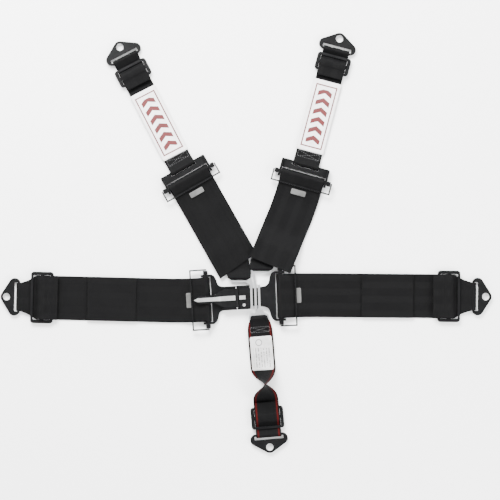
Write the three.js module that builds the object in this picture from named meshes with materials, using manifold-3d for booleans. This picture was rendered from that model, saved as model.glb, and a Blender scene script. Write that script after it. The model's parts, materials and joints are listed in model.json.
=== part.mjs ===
// A five-point latch-and-link racing harness laid out flat on the ground, in millimetres, +Z up.
// The origin is the centre of the footprint, on the ground. +X runs along the two lap belts.
// Each belt is built in a frame of its own whose origin is the middle of its adjuster's slide bar
// and whose +X runs along the belt towards its anchor bracket.
import * as THREE from "three";
import { mergeVertices } from "three/addons/utils/BufferGeometryUtils.js";
import Module from "manifold-3d";

const wasm = await Module();
wasm.setup();

// ---- driving dimensions, mm ----
const WEB = { thick: 1.8, lap: 76.5, shoulder: 77, anchorTwoInch: 46, crotch: 44 };
const GAP = 0.4; // running clearance between neighbouring pieces
const LAYER = WEB.thick + 0.3; // one layer of webbing lying on another
const GROUND = WEB.thick / 2; // middle of the layer that lies on the ground

const BAR = { radius: 4.5, journal: 2.4, half: 39.1, end: 50, earIn: 39.5, earOut: 43, earTop: 11, travel: 1.5 };
const BAR_WRAP = BAR.radius + GAP + WEB.thick / 2; // webbing middle round a slide bar
const BAR_Z = GROUND + BAR_WRAP;
const TAIL_Z = GROUND + LAYER;

const EDGE = { half: 2.1, thick: 3.2 }; // the flat edge bar that webbing is looped round
const EDGE_WRAP = Math.hypot(EDGE.half, EDGE.thick / 2) + GAP / 2 + WEB.thick / 2;
const EDGE_Z = GROUND + EDGE_WRAP;

const LATCH = { x: -69.4, y: -97.5, heading: 183.5 };
const LINK = { x: 58.5, y: -91.2, heading: 2 };
const PLATE = { half: 43, windowIn: -8.2, fork: 8, neckFrom: -29 };
const LATCH_PLATE = { z0: 1.6, z1: 4.6, neck: 20.5, nose: -74.6 };
const TONGUE = { z0: 5, z1: 8.4, half: 15.5, neck: 17.2, tip: -91, catchFrom: -86.5, catchTo: -80 };
const CHEEK = { in: 17.5, from: -26, top: 13.6 };
const ROOF = { from: -74.6, to: -55.6, z0: 8.9, z1: 12.4 };
const PIN = { x: -51.8, z: 11.9, radius: 1.5 };
const LEVER = { tip: 22.4, half: 16.6, gripZ: 14.1, gripThick: 2.6, barrel: 3 };
const RIB = { wide: 4, narrow: 3.3, thick: 1.6 };

const LOOP = { thick: 3.6, half: 21, slotHalf: 17.4, slotZ0: 4.3, slotZ1: 9.1, top: 12.6, post: 0.4 };
const RING = { half: 17.6, opening: 14.9, rimIn: -5.7, rimOut: -8.3, corner: 7, web: 27.4 };
const LAP_BEND = { left: -4.9, right: -2.5, from: 12, to: 70 };
const LAP_FOLD = { x: 40, gap: 0.4 }; // the line along which a lap belt folds up, clear of its bail
const LAP = {
  left: { slide: 286.6, edge: 326.7, hemFrom: 123, hemTo: 206.2 },
  right: { slide: 292.1, edge: 334.7, hemFrom: 141, hemTo: 229.3 },
};
const LOOPS = {
  left: { x: 8, barX: -13.5, barY: -59, heading: 90,
    neck: [[-3, -66.5], [3, -57], [9.8, -65], [9.8, -73], [6.2, -73]] },
  right: { x: 15, barX: 25, barY: -43.5, heading: 90,
    neck: [[8, -41], [14, -50], [16.8, -73], [13.2, -73], [8.4, -52]] },
  crotch: { x: 21.3, barX: 21, barY: -129.6, heading: -85.2,
    neck: [[19.5, -112], [23.1, -112], [32, -122], [14, -122]] },
};
const SHOULDER = {
  left: { x: -101, y: 113, heading: 119.5, upperBend: -2.2, slide: 206.9, edge: 235.7,
    turned: 0, lobeFrom: 118, tail: 175, skew: 6, endZ: 5.6 },
  right: { x: 96.7, y: 115.1, heading: 74.5, upperBend: 0.7, slide: 203, edge: 227,
    turned: -7, lobeFrom: 105, tail: 163, skew: 0, endZ: 12.7 },
};
const BAIL = { lap: 26.5, shoulder: 17.5, wire: 1.2 };
const TAG = { long: 26, wide: 9.5, thick: 0.8, z: 7.4 };
const SLEEVE = { long: 126, wide: 46.6, thick: 0.7 };
const BRACKET = { holeX: 21.5, hole: 6.35, apex: 10.2, lobeX: 7.6, lobeY: 23, lobe: 9.7, slot: 6, slotHalf: 25.2 };
const SLIDE = { z0: 4.3, z1: 7.3, outer: 4, centre: 2.5, rail: 6 };

// ---- materials ----
const black = { color: 0x141416, roughness: 0.45, metalness: 0.7 };
const webbing = { color: 0x0e0e10, roughness: 0.9, metalness: 0 };
const polished = { color: 0xd8d8da, roughness: 0.18, metalness: 1 };
const white = { color: 0xe9e7e3, roughness: 0.7, metalness: 0 };
const grey = { color: 0x8f8f8a, roughness: 0.6, metalness: 0 };

// ---- solids ----
const rad = THREE.MathUtils.degToRad;

function toSolid(geometry) {
  const bare = geometry.clone();
  bare.deleteAttribute("normal");
  bare.deleteAttribute("uv");
  const merged = mergeVertices(bare, 1e-4);
  const vertProperties = merged.attributes.position.array;
  const triVerts = new Uint32Array(merged.index.array);
  return new wasm.Manifold(new wasm.Mesh({ numProp: 3, vertProperties, triVerts }));
}

function toGeometry(solid) {
  const made = solid.getMesh();
  const geometry = new THREE.BufferGeometry();
  geometry.setAttribute("position", new THREE.BufferAttribute(made.vertProperties, made.numProp));
  geometry.setIndex(new THREE.BufferAttribute(made.triVerts, 1));
  const flat = geometry.toNonIndexed();
  flat.computeVertexNormals();
  return flat;
}

const join = (...pieces) => toGeometry(pieces.map(toSolid).reduce((a, b) => a.add(b)));
const cut = (piece, ...tools) => toGeometry(tools.map(toSolid).reduce((a, b) => a.subtract(b), toSolid(piece)));
const common = (a, b) => toGeometry(toSolid(a).intersect(toSolid(b)));

function block(x0, x1, y0, y1, z0, z1) {
  const box = new THREE.BoxGeometry(x1 - x0, y1 - y0, z1 - z0);
  return box.translate((x0 + x1) / 2, (y0 + y1) / 2, (z0 + z1) / 2);
}

function plate(shape, z0, z1, curveSegments = 8) {
  const options = { depth: z1 - z0, bevelEnabled: false, curveSegments };
  return new THREE.ExtrudeGeometry(shape, options).translate(0, 0, z0);
}

// A round rod that lies along Y.
function rod(radius, y0, y1, x, z, sides = 16) {
  return new THREE.CylinderGeometry(radius, radius, y1 - y0, sides).translate(x, (y0 + y1) / 2, z);
}

function roundedRect(x0, x1, y0, y1, r, Kind = THREE.Shape) {
  const shape = new Kind();
  shape.moveTo(x0 + r, y0);
  shape.absarc(x1 - r, y0 + r, r, rad(-90), 0);
  shape.absarc(x1 - r, y1 - r, r, 0, rad(90));
  shape.absarc(x0 + r, y1 - r, r, rad(90), rad(180));
  shape.absarc(x0 + r, y0 + r, r, rad(180), rad(270));
  return shape;
}

function piece(name, geometry, finish) {
  const mesh = new THREE.Mesh(geometry, new THREE.MeshStandardMaterial(finish));
  mesh.name = name;
  return mesh;
}

function frameAt(x, y, heading, ...children) {
  const group = new THREE.Group();
  group.position.set(x, y, 0);
  group.rotation.z = rad(heading);
  group.add(...children);
  return group;
}

// ---- webbing ----
// The line that a belt follows on the ground: straight, then an arc of `bend` degrees, then straight.
// Distances run from the slide bar; a negative `way` runs them towards the latch.
function route(bend = 0, from = 0, to = 1, way = 1) {
  if (!bend) return (x) => ({ x, y: 0, heading: 0 });
  const radius = (to - from) / rad(bend);
  return (x) => {
    const s = x * way;
    const turned = rad(bend) * THREE.MathUtils.clamp((s - from) / (to - from), 0, 1);
    const straight = Math.min(s, from);
    const after = Math.max(s - to, 0);
    const px = straight + radius * Math.sin(turned) + after * Math.cos(turned);
    const py = radius * (1 - Math.cos(turned)) + after * Math.sin(turned);
    return { x: px * way, y: py * way, heading: turned };
  };
}

// Points of a webbing layer's middle: a straight stretch to (x, z), or a turn round a bar.
const to = (x, z, width, extra = {}) => [{ x, z, width, ...extra }];

function turn(cx, cz, radius, fromDeg, toDeg, width, steps = 8, extra = {}) {
  return Array.from({ length: steps + 1 }, (_, i) => {
    const a = rad(fromDeg + ((toDeg - fromDeg) * i) / steps);
    return { x: cx + radius * Math.cos(a), z: cz + radius * Math.sin(a), width, ...extra };
  });
}

// One closed strip of webbing through `points`, each of which may carry its own width, its own
// route on the ground, a skewed end and a twist about the strip's middle.
function strip(points, plan) {
  const vertices = [];
  points.forEach((point, i) => {
    const before = points[Math.max(i - 1, 0)];
    const next = points[Math.min(i + 1, points.length - 1)];
    const a = new THREE.Vector2(point.x - before.x, point.z - before.z).normalize();
    const b = new THREE.Vector2(next.x - point.x, next.z - point.z).normalize();
    const along = a.clone().add(b).normalize();
    const miter = 1 / Math.max(Math.abs(along.dot(i ? a : b)), 0.5);
    const ground = (point.plan || plan)(point.x);
    const forward = new THREE.Vector3(Math.cos(ground.heading), Math.sin(ground.heading), 0);
    const normal = forward.clone().multiplyScalar(-along.y).setZ(along.x);
    const side = ground.heading + rad(90 + (point.skew || 0));
    const across = new THREE.Vector3(Math.cos(side), Math.sin(side), 0);
    const skewScale = 1 / Math.cos(rad(point.skew || 0));
    const axis = new THREE.Vector3().crossVectors(across, normal).normalize();
    const twist = rad(point.twist || 0);
    across.applyAxisAngle(axis, twist).multiplyScalar((point.width / 2) * skewScale);
    normal.applyAxisAngle(axis, twist).multiplyScalar((WEB.thick / 2) * miter);
    const middle = new THREE.Vector3(ground.x, ground.y, point.z);
    [[-1, -1], [1, -1], [1, 1], [-1, 1]].forEach(([u, v]) => {
      vertices.push(middle.clone().addScaledVector(across, u).addScaledVector(normal, v));
    });
  });
  const faces = [[0, 1, 2], [0, 2, 3]];
  const last = vertices.length - 4;
  faces.push([last, last + 2, last + 1], [last, last + 3, last + 2]);
  for (let k = 0; k < last; k += 4) {
    for (let e = 0; e < 4; e++) {
      const f = (e + 1) % 4;
      faces.push([k + e, k + 4 + e, k + 4 + f], [k + e, k + 4 + f, k + f]);
    }
  }
  const geometry = new THREE.BufferGeometry().setFromPoints(vertices);
  geometry.setIndex(faces.flat());
  return toSolid(geometry).volume() < 0 ? flipped(geometry) : geometry;
}

function flipped(geometry) {
  const index = geometry.index.array;
  for (let i = 0; i < index.length; i += 3) {
    [index[i + 1], index[i + 2]] = [index[i + 2], index[i + 1]];
  }
  return geometry;
}

// The bracket end of a belt: over the slide's centre bar, round the bracket's edge bar, back over
// the centre bar on top of the first layer, and out over the slide's inner bar.
function anchorRun(slideX, half, edgeX, width, bunched, plan) {
  const humpZ = SLIDE.z1 + GAP + GROUND;
  const flat = SLIDE.centre + 1.6;
  const slope = (humpZ - GROUND) / 1.732;
  const shift = LAYER * 0.58;
  const options = { plan };
  return [
    ...to(slideX - flat - slope, GROUND, width, options),
    ...to(slideX - flat, humpZ, width, options),
    ...to(slideX + flat, humpZ, width, options),
    ...to(slideX + flat + slope, GROUND, width, options),
    ...to(slideX + half, GROUND, (width + bunched) / 2, options),
    ...turn(edgeX, EDGE_Z, EDGE_WRAP, -90, 130, bunched, 10, options),
    ...to(slideX + half + 1, TAIL_Z, (width + bunched) / 2, options),
    ...to(slideX + flat + slope + LAYER, TAIL_Z, width, options),
    ...to(slideX + flat + shift, humpZ + LAYER, width, options),
    ...to(slideX - flat - shift, humpZ + LAYER, width, options),
    ...to(slideX - SLIDE.centre - 6, humpZ + 0.1, width, options),
    ...to(slideX - half - 8, humpZ - 0.6, width, options),
  ];
}

function bracket(name, x) {
  const b = BRACKET;
  const lobe = new THREE.Vector2(b.holeX - b.lobeX, -b.lobeY);
  const lean = lobe.angle() - Math.PI * 1.5 + Math.asin((b.apex - b.lobe) / lobe.length());
  const shape = new THREE.Shape();
  shape.absarc(b.holeX, 0, b.apex, -lean, lean);
  shape.absarc(b.lobeX, b.lobeY, b.lobe, lean, Math.PI);
  shape.absarc(b.lobeX, -b.lobeY, b.lobe, Math.PI, 2 * Math.PI - lean);
  shape.holes.push(roundedRect(EDGE.half, EDGE.half + b.slot, -b.slotHalf, b.slotHalf, 1.2, THREE.Path));
  shape.holes.push(new THREE.Path().absarc(b.holeX, 0, b.hole, 0, Math.PI * 2));
  const mesh = piece(name, plate(shape, EDGE_Z - EDGE.thick / 2, EDGE_Z + EDGE.thick / 2, 10), black);
  mesh.position.x = x;
  return mesh;
}

function threeBarSlide(name, x, half, windowHalf) {
  const outline = roundedRect(-half, half, -windowHalf - SLIDE.rail, windowHalf + SLIDE.rail, 5);
  [-1, 1].forEach((side) => {
    const ends = [side * SLIDE.centre, side * (half - SLIDE.outer)].sort((a, b) => a - b);
    outline.holes.push(roundedRect(ends[0], ends[1], -windowHalf, windowHalf, 1.5, THREE.Path));
  });
  const mesh = piece(name, plate(outline, SLIDE.z0, SLIDE.z1, 4), black);
  mesh.position.x = x;
  return mesh;
}

// ---- slide bar, bail and adjuster ears ----
function slideBar(name) {
  const { radius, journal, half, end } = BAR;
  const ends = [-1, 1].map((side) => {
    const from = Math.min(side * (BAR.earOut + 0.5), side * end);
    return block(-4, 4, from, from + end - BAR.earOut - 0.5, BAR_Z - 3.6, BAR_Z + 3.6);
  });
  const core = rod(journal, -end, end, 0, BAR_Z, 12);
  return piece(name, join(rod(radius, -half, half, 0, BAR_Z), core, ...ends), black);
}

// A wire that leaves both ends of the slide bar and crosses over the belt at x = reach.
function bail(name, reach) {
  const w = BAIL.wire;
  const z = BAR_Z + 3.4;
  const inner = BAR.end + GAP;
  const outer = inner + 2 * w;
  const [from, to] = [Math.min(0, reach), Math.max(0, reach)];
  const arms = [-outer, inner].map((y) => block(from, to, y, y + 2 * w, z - w, z + w));
  const hooks = [-outer, inner].map((y) => rod(2.6, y, y + 2 * w, Math.sign(reach) * 0.5, z - 2, 10));
  const cross = block(reach - w, reach + w, -outer, outer, z - w, z + w);
  return piece(name, join(...arms, ...hooks, cross), black);
}

// The two ears that carry the slide bar, with the slots it travels in.
function ears(x0, x1, z0, z1) {
  const slot = BAR.journal + 0.5;
  return [-1, 1].map((side) => {
    const y = side < 0 ? -BAR.earOut : BAR.earIn;
    const ear = block(x0, x1, y, y + BAR.earOut - BAR.earIn, z0, z1);
    const travel = block(-slot - BAR.travel, slot + BAR.travel, y - 1, y + 5, BAR_Z - slot, BAR_Z + slot);
    return cut(ear, travel);
  });
}

// Plan outline of an adjuster plate: full width at the window, rounded shoulders, then the neck.
function plateOutline(neck, noseX, noseRound) {
  const { half, windowIn, neckFrom } = PLATE;
  const shape = new THREE.Shape();
  shape.moveTo(windowIn, -half);
  shape.bezierCurveTo(windowIn - 7, -half, windowIn - 10, -half + 8, windowIn - 11, -half + 15);
  shape.quadraticCurveTo(windowIn - 12, -neck, neckFrom - 4, -neck);
  shape.lineTo(noseX + noseRound, -neck);
  shape.quadraticCurveTo(noseX, -neck, noseX, -neck + noseRound);
  shape.lineTo(noseX, neck - noseRound);
  shape.quadraticCurveTo(noseX, neck, noseX + noseRound, neck);
  shape.lineTo(neckFrom - 4, neck);
  shape.quadraticCurveTo(windowIn - 12, neck, windowIn - 11, half - 15);
  shape.bezierCurveTo(windowIn - 10, half - 8, windowIn - 7, half, windowIn, half);
  return shape;
}

// ---- latch: base, lever with its polished rib, hinge pin, leaf spring, nose strip and rivet ----
function latchBase() {
  const { z0, z1, neck, nose } = LATCH_PLATE;
  const floor = plate(plateOutline(neck, nose, 3), z0, z1, 6);
  const cheeks = [-1, 1].map((side) => {
    const y = side < 0 ? -neck : CHEEK.in;
    return block(nose, CHEEK.from, y, y + neck - CHEEK.in, 0, CHEEK.top);
  });
  const roof = block(ROOF.from, ROOF.to, -CHEEK.in - 1, CHEEK.in + 1, ROOF.z0, ROOF.z1);
  const whole = join(floor, ...cheeks, roof, ...ears(PLATE.windowIn - 2, PLATE.fork, 0, BAR.earTop));
  return piece("latch_base", cut(whole, rod(PIN.radius + 0.3, -30, 30, PIN.x, PIN.z)), black);
}

// Side view of the lever: low over the tongue, then a step up that clears the webbing.
function leverSide(extra) {
  const { gripZ, gripThick, tip } = LEVER;
  const side = new THREE.Shape();
  side.moveTo(PIN.x, 9.4 + (extra ? 4 : 0));
  side.lineTo(-24, 9.4 + (extra ? 4 : 0));
  side.lineTo(-10, gripZ + (extra ? 1 : 0));
  side.lineTo(tip, gripZ + (extra ? 1 : 0));
  side.lineTo(tip, gripZ + gripThick + extra);
  side.lineTo(-11, gripZ + gripThick + extra);
  side.lineTo(-25, 13.4 + extra);
  side.lineTo(PIN.x, 13.4 + extra);
  return side;
}

function sideways(shape, half) {
  const options = { depth: 2 * half, bevelEnabled: false };
  return new THREE.ExtrudeGeometry(shape, options).rotateX(Math.PI / 2).translate(0, half, 0);
}

function leverPlan(root, neck, from, tipLength) {
  const plan = new THREE.Shape();
  plan.moveTo(from, -root);
  plan.lineTo(-30, -root);
  plan.lineTo(-14, -neck);
  plan.lineTo(LEVER.tip - tipLength, -neck);
  plan.lineTo(LEVER.tip, 0);
  plan.lineTo(LEVER.tip - tipLength, neck);
  plan.lineTo(-14, neck);
  plan.lineTo(-30, root);
  plan.lineTo(from, root);
  return plan;
}

function lever() {
  const arm = common(sideways(leverSide(0), 20), plate(leverPlan(LEVER.half, 7, PIN.x, 9), 5, 20));
  const barrel = rod(LEVER.barrel, -LEVER.half, LEVER.half, PIN.x, PIN.z, 20);
  const tooth = block(-46.5, -42.5, -6, 6, TONGUE.z1 + GAP, 11);
  const body = cut(join(arm, barrel, tooth), rod(PIN.radius + 0.3, -30, 30, PIN.x, PIN.z));
  const groove = plate(leverPlan(RIB.wide + 0.3, RIB.narrow + 0.3, -49.8, 7), 0, 30);
  const cutter = common(sideways(leverSide(2), 20), groove);
  const ribPlan = plate(leverPlan(RIB.wide, RIB.narrow, -49.5, 7), 0, 30);
  const ribTop = common(sideways(leverSide(RIB.thick), 20), ribPlan);
  const clear = common(sideways(leverSide(GAP), 20), plate(leverPlan(20, 20, -60, 1), 5, 20));
  return [
    piece("latch_lever", body, black),
    piece("lever_rib", cut(common(ribTop, cutter), clear), polished),
  ];
}

function latchParts() {
  const pin = piece("hinge_pin", rod(PIN.radius, -LATCH_PLATE.neck, LATCH_PLATE.neck, PIN.x, PIN.z), polished);
  const leaf = [...to(-15, 6.1, 16), ...to(-22, 6.1, 16), ...to(-27, 6.8, 16), ...to(-33, 8.0, 16)];
  const spring = piece("detent_spring", strip(leaf, route()), polished);
  const top = ROOF.z1 + GAP;
  const noseStrip = piece("nose_strip", block(-67, -56.5, -RIB.narrow, RIB.narrow, top, top + 1.4), polished);
  const head = new THREE.CylinderGeometry(2.6, 2.6, 1.4, 16).rotateX(Math.PI / 2).translate(-64, 13, top + 0.7);
  return [latchBase(), ...lever(), pin, spring, noseStrip, piece("nose_rivet", head, polished)];
}

function linkPlate() {
  const { z0, z1, half, neck, tip } = TONGUE;
  const wide = plate(plateOutline(neck, -35, 1), z0, z1, 6);
  const tongue = plate(roundedRect(tip, -34, -half, half, 3), z0, z1, 4);
  const whole = join(wide, tongue, ...ears(PLATE.windowIn - 2, PLATE.fork, 0, BAR.earTop));
  return piece("link_plate", cut(whole, block(TONGUE.catchFrom, TONGUE.catchTo, -8, 8, 0, 20)), black);
}

// ---- lap belt: hemmed tail, wrap round the slide bar, and the run out to the bracket ----
// The webbing is cut at the fold line, so that the run and its tail can fold up while the wrap stays
// on its bar.
function lapBelt(side, bend) {
  const { slide, edge, hemFrom, hemTo } = LAP[side];
  const plan = route(bend, LAP_BEND.from, LAP_BEND.to);
  const w = WEB.lap;
  const hemZ = TAIL_Z + LAYER;
  const points = [
    ...to(hemFrom, hemZ, w),
    ...turn(hemTo, (TAIL_Z + hemZ) / 2, LAYER / 2, 90, -90, w, 6),
    ...to(70, TAIL_Z, w),
    ...to(46, TAIL_Z, w),
    ...to(32, 4.6, w),
    ...to(20, 7.6, w),
    ...turn(0, BAR_Z, BAR_WRAP, 65, 270, w, 12),
    ...to(20, GROUND, w),
    ...to(45, GROUND, w),
    ...to(70, GROUND, w),
    ...anchorRun(slide, 19.5, edge, w, 48, plan),
  ];
  const whole = strip(points, plan);
  const wrap = common(whole, block(-20, LAP_FOLD.x, -60, 60, -5, 30));
  const beyond = common(whole, block(LAP_FOLD.x + LAP_FOLD.gap, edge + 20, -120, 120, -5, 30));
  const [tail, run] = toSolid(beyond).decompose().sort((a, b) => a.volume() - b.volume()).map(toGeometry);
  const end = plan(slide);
  const bracketAt = plan(edge);
  const turned = THREE.MathUtils.radToDeg(end.heading);
  const tagAt = plan(31);
  const tag = block(-TAG.wide / 2, TAG.wide / 2, -TAG.long / 2, TAG.long / 2, TAG.z, TAG.z + TAG.thick);
  return [
    piece(`lap_${side}_wrap_webbing`, wrap, webbing),
    piece(`lap_${side}_tail_webbing`, tail, webbing),
    piece(`lap_${side}_webbing`, run, webbing),
    frameAt(end.x, end.y, turned, threeBarSlide(`lap_${side}_three_bar`, 0, 19.5, 38.7)),
    frameAt(bracketAt.x, bracketAt.y, turned, bracket(`lap_${side}_bracket`, 0)),
    frameAt(tagAt.x, tagAt.y, 0, piece(`lap_${side}_tag`, tag, grey)),
    slideBar(`lap_${side}_slide_bar`),
    bail(`lap_${side}_bail`, BAIL.lap),
  ];
}

// ---- chrome loops on the tongue ----
// The outline of a loop's ring round its own edge bar; +X points out along the belt.
function ringOutline() {
  const { half, opening, rimIn, rimOut, corner } = RING;
  const ring = new THREE.Shape();
  ring.moveTo(EDGE.half, -half);
  ring.lineTo(EDGE.half, half);
  ring.lineTo(rimOut + corner, half);
  ring.quadraticCurveTo(rimOut, half, rimOut, half - corner - 2);
  ring.lineTo(rimOut, -half + corner + 2);
  ring.quadraticCurveTo(rimOut, -half, rimOut + corner, -half);
  ring.holes.push(roundedRect(rimIn, -EDGE.half, -opening, opening, 1.2, THREE.Path));
  return ring;
}

// A slotted flange across the tongue, a ring for the belt, and the neck that joins them.
function loopFitting(name, { x, barX, barY, heading, neck }) {
  const centreY = LINK.y + (x - LINK.x) * Math.tan(rad(LINK.heading));
  const { thick, half, slotHalf, slotZ0, slotZ1, top, post } = LOOP;
  const flange = cut(
    block(-thick / 2, thick / 2, -half, half, post, top),
    block(-thick, thick, -slotHalf, slotHalf, slotZ0, slotZ1),
  ).rotateZ(rad(LINK.heading)).translate(x, centreY, 0);
  const [z0, z1] = [EDGE_Z - EDGE.thick / 2, EDGE_Z + EDGE.thick / 2];
  const ring = plate(ringOutline(), z0, z1).rotateZ(rad(heading)).translate(barX, barY, 0);
  const web = plate(new THREE.Shape(neck.map(([px, py]) => new THREE.Vector2(px, py))), z0, z1);
  const opening = block(RING.rimIn, -EDGE.half, -RING.opening, RING.opening, 0, 20);
  const clear = opening.rotateZ(rad(heading)).translate(barX, barY, 0);
  return piece(name, join(flange, ring, cut(web, clear)), polished);
}

// ---- shoulder belts ----
// From the slide bar towards the latch: the main route, then a curve onto the loop's edge bar.
function lobeRoute(main, from, target) {
  const start = main(-from);
  const inward = (at) => new THREE.Vector2(-Math.cos(at.heading), -Math.sin(at.heading));
  const p0 = new THREE.Vector2(start.x, start.y);
  const p3 = new THREE.Vector2(target.x, target.y);
  const reach = p0.distanceTo(p3) / 3;
  const p1 = p0.clone().addScaledVector(inward(start), reach);
  const p2 = p3.clone().addScaledVector(inward(target), -reach);
  const curve = new THREE.CubicBezierCurve(p0, p1, p2, p3);
  const length = curve.getLength();
  const plan = (x) => {
    if (-x <= from) return main(x);
    const t = Math.min((-x - from) / length, 1);
    const point = curve.getPointAt(t).addScaledVector(inward(target), Math.max(-x - from - length, 0));
    const tangent = curve.getTangentAt(t);
    return { x: point.x, y: point.y, heading: Math.atan2(-tangent.y, -tangent.x) };
  };
  return { plan, length: from + length };
}

function localPoint(belt, x, y, heading) {
  const at = new THREE.Vector2(x - belt.x, y - belt.y).rotateAround(new THREE.Vector2(), -rad(belt.heading));
  return { x: at.x, y: at.y, heading: rad(heading - belt.heading) };
}

function lowerShoulder(belt, loop) {
  const main = route(belt.turned, 20, 75, -1);
  const target = localPoint(belt, loop.barX, loop.barY, loop.heading);
  const { plan, length } = lobeRoute(main, belt.lobeFrom, target);
  const lobe = { plan };
  const w = WEB.shoulder;
  const tip = RING.web;
  return strip([
    ...to(-length + 44, TAIL_Z, 42, lobe),
    ...to(-length + 14, TAIL_Z + 1, 28, lobe),
    ...turn(-length, EDGE_Z, EDGE_WRAP, 55, 270, tip, 10, lobe),
    ...to(-length + 14, GROUND, 28, lobe),
    ...to(-length + 30, GROUND, 42, lobe),
    ...to(-length + 50, GROUND, 60, lobe),
    ...to(-92, GROUND, w),
    ...to(-75, GROUND, w),
    ...to(-48, GROUND, w),
    ...to(-20, GROUND, w),
    ...turn(0, BAR_Z, BAR_WRAP, -90, 115, w, 12),
    ...to(-15, 7.3, w),
    ...to(-32, 4.4, w),
    ...to(-48, TAIL_Z, w),
    ...to(-75, TAIL_Z, w),
    ...to(-belt.tail + 62, TAIL_Z, w),
    ...to(-belt.tail + 34, belt.endZ, w),
    ...to(-belt.tail + 10, belt.endZ, w),
    ...to(-belt.tail, belt.endZ, w, { skew: belt.skew }),
  ], main);
}

const FRAME = { from: 8.8, slotFrom: 16.3, edge: 21.8, slotHalf: 24.2 };

function adjusterFrame(name) {
  const outer = FRAME.edge + EDGE.half;
  const shape = roundedRect(FRAME.from, outer, -BAR.earOut, BAR.earOut, 2);
  const { slotFrom, edge, slotHalf } = FRAME;
  shape.holes.push(roundedRect(slotFrom, edge - EDGE.half, -slotHalf, slotHalf, 1, THREE.Path));
  const base = plate(shape, EDGE_Z - EDGE.thick / 2, EDGE_Z + EDGE.thick / 2, 4);
  return piece(name, join(base, ...ears(-PLATE.fork, outer - 2, 0, BAR.earTop)), black);
}

function upperShoulder(belt) {
  const plan = route(belt.upperBend, 40, 60);
  const w = WEB.anchorTwoInch;
  const sleeveEnd = 174;
  return strip([
    ...to(sleeveEnd, GROUND, w),
    ...to(60, GROUND, w),
    ...to(40, GROUND, w),
    ...to(FRAME.edge + 8, GROUND, w),
    ...turn(FRAME.edge, EDGE_Z, EDGE_WRAP, 270, 60, w, 10),
    ...to(FRAME.edge + 15, TAIL_Z, w),
    ...to(60, TAIL_Z, w),
    ...to(sleeveEnd, TAIL_Z, w),
    ...to(sleeveEnd + 7, GROUND, w),
    ...anchorRun(belt.slide, 15.5, belt.edge, w, w, plan),
  ], plan);
}

// The right tail stops beside the left tail where the two meet, so each belt lifts on its own.
function besideLeftTail(lower) {
  const { left, right } = SHOULDER;
  const half = WEB.shoulder / 2 + 1;
  const outline = block(-left.tail - 4, -120, -half, half, -5, 40).rotateZ(rad(left.heading));
  outline.translate(left.x - right.x, left.y - right.y, 0).rotateZ(-rad(right.heading));
  return cut(lower, outline);
}

function shoulderBelt(side) {
  const belt = SHOULDER[side];
  const plan = route(belt.upperBend, 40, 60);
  const lower = lowerShoulder(belt, LOOPS[side]);
  const slideAt = plan(belt.slide);
  const edgeAt = plan(belt.edge);
  const sleeveAt = plan(109);
  const turned = THREE.MathUtils.radToDeg(slideAt.heading);
  const [long, wide] = [SLEEVE.long / 2, SLEEVE.wide / 2];
  const sleeveZ = TAIL_Z + LAYER / 2 + 0.2;
  const sleeve = block(-long, long, -wide, wide, sleeveZ, sleeveZ + SLEEVE.thick);
  const tag = block(-TAG.wide / 2, TAG.wide / 2, -TAG.long / 2, TAG.long / 2, TAG.z, TAG.z + TAG.thick);
  return frameAt(belt.x, belt.y, belt.heading,
    piece(`shoulder_${side}_lower_webbing`, side === "right" ? besideLeftTail(lower) : lower, webbing),
    piece(`shoulder_${side}_upper_webbing`, upperShoulder(belt), webbing),
    adjusterFrame(`shoulder_${side}_adjuster`),
    slideBar(`shoulder_${side}_slide_bar`),
    bail(`shoulder_${side}_bail`, -BAIL.shoulder),
    frameAt(-28.2, 0, 0, piece(`shoulder_${side}_tag`, tag, grey)),
    frameAt(sleeveAt.x, sleeveAt.y, turned, piece(`shoulder_${side}_sleeve`, sleeve, white)),
    frameAt(slideAt.x, slideAt.y, turned, threeBarSlide(`shoulder_${side}_three_bar`, 0, 15.5, 23.8)),
    frameAt(edgeAt.x, edgeAt.y, turned, bracket(`shoulder_${side}_bracket`, 0)),
  );
}

// ---- crotch belt: wrap on its loop, a half twist on edge, then the slide and the bracket ----
const CROTCH = { slide: 173.5, edge: 203.3, twistFrom: 78, twistTo: 150, label: 60 };

function crotchBelt() {
  const { barX, barY, heading } = LOOPS.crotch;
  const plan = route(0);
  const w = WEB.crotch;
  const twists = Array.from({ length: 13 }, (_, i) => {
    const share = i / 12;
    const smooth = share * share * (3 - 2 * share);
    const z = GROUND + (w / 2) * Math.sin(Math.PI * smooth);
    return { x: CROTCH.twistFrom + share * (CROTCH.twistTo - CROTCH.twistFrom), z, width: w, twist: 180 * smooth };
  });
  const afterTwist = anchorRun(CROTCH.slide, 19, CROTCH.edge, w, w, plan);
  afterTwist.forEach((point) => {
    point.twist = 180;
  });
  const points = [
    ...to(60, TAIL_Z, w),
    ...to(30, TAIL_Z, w),
    ...to(14, TAIL_Z + 0.6, 38),
    ...turn(0, EDGE_Z, EDGE_WRAP, 60, 270, RING.web, 10),
    ...to(12, GROUND, 38),
    ...to(30, GROUND, w),
    ...twists,
    ...afterTwist,
  ];
  const labelZ = TAIL_Z + LAYER / 2 + 0.2;
  const label = block(30, 30 + CROTCH.label, -19, 19, labelZ, labelZ + SLEEVE.thick);
  return frameAt(barX, barY, heading,
    piece("crotch_webbing", strip(points, plan), webbing),
    piece("crotch_label", label, white),
    threeBarSlide("crotch_three_bar", CROTCH.slide, 19, 22.5),
    bracket("crotch_bracket", CROTCH.edge),
  );
}

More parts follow.
